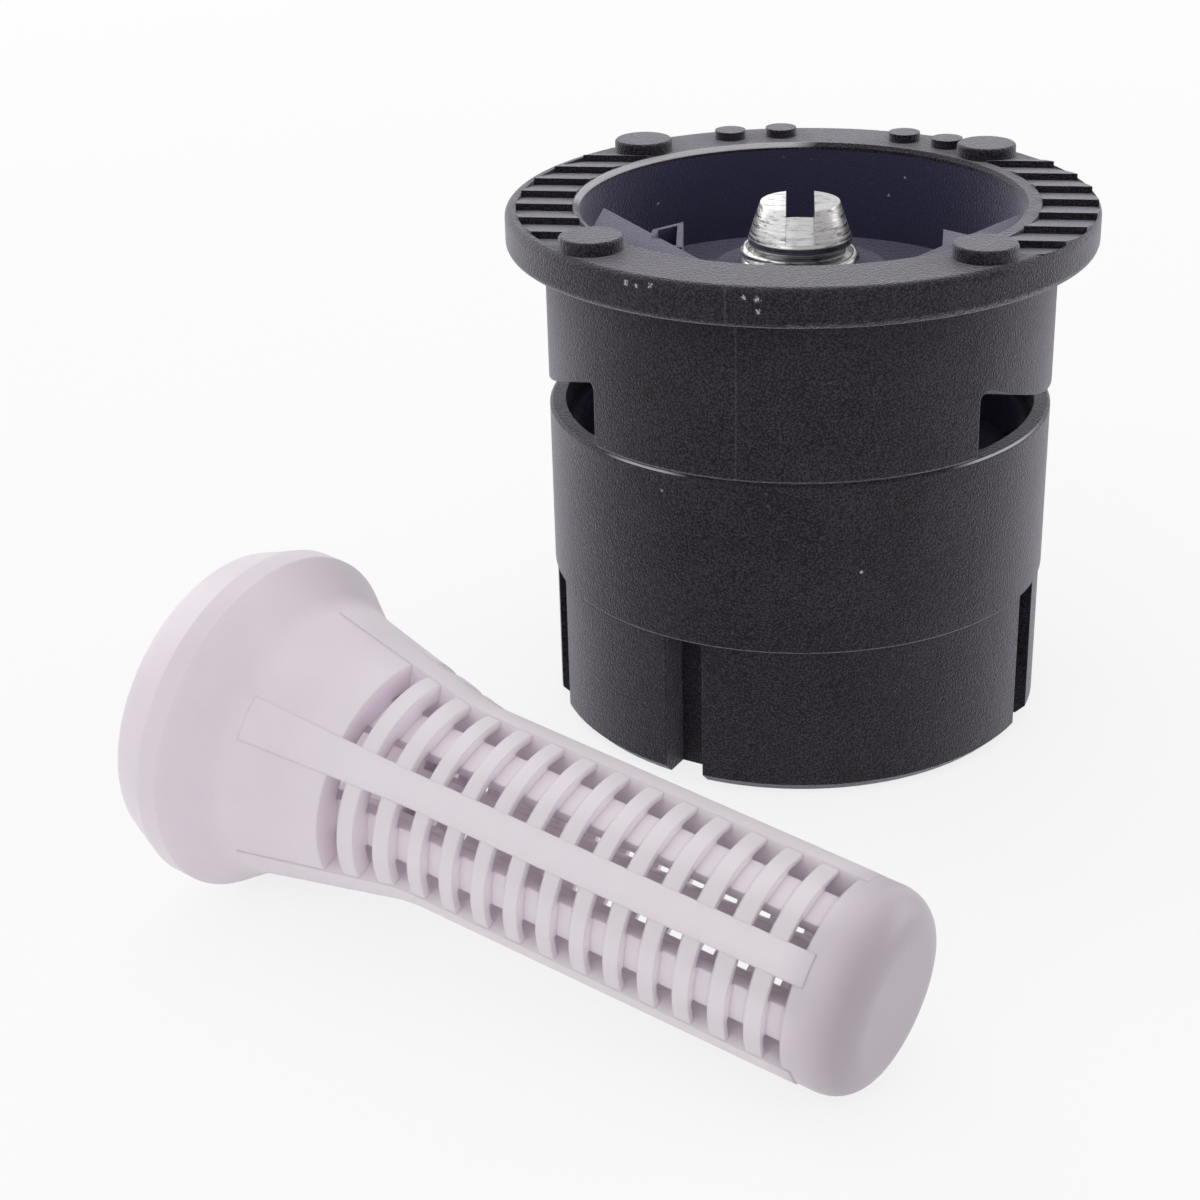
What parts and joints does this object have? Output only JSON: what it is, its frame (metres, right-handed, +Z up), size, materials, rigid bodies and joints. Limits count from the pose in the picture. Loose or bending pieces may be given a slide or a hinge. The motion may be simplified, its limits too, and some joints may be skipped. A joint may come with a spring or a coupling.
{
  "type": "sprinkler nozzle",
  "caption": "Pop-up sprinkler spray nozzle: flanged black body with side windows, slotted adjusting screw and a loose basket filter screen.",
  "frame": {"origin": "centre of the riser thread's mouth, on the surface the nozzle stands on", "axes": "+Z up along the nozzle's axis; the side windows look along -X and +X; -Y is the side with the screen in front of it"},
  "size_m": [0.0334, 0.0423, 0.0214],
  "materials": {
    "body_plastic": "black moulded acetal, lightly glossy and scuffed",
    "stainless": "turned stainless steel",
    "screen_plastic": "natural translucent polypropylene, matt"
  },
  "bodies": {
    "root": {"nozzle_collar": "body_plastic", "nozzle_base": "body_plastic", "filter_screen": "screen_plastic"},
    "screw": {"adjusting_screw": "stainless"}
  },
  "joints": [
    {"name": "screw_turn", "type": "hinge", "parent": "root", "child": "screw", "pos_m": [0, 0, 0.0169], "axis": [0, 0, 1], "range_deg": [-900, 900]}
  ]
}
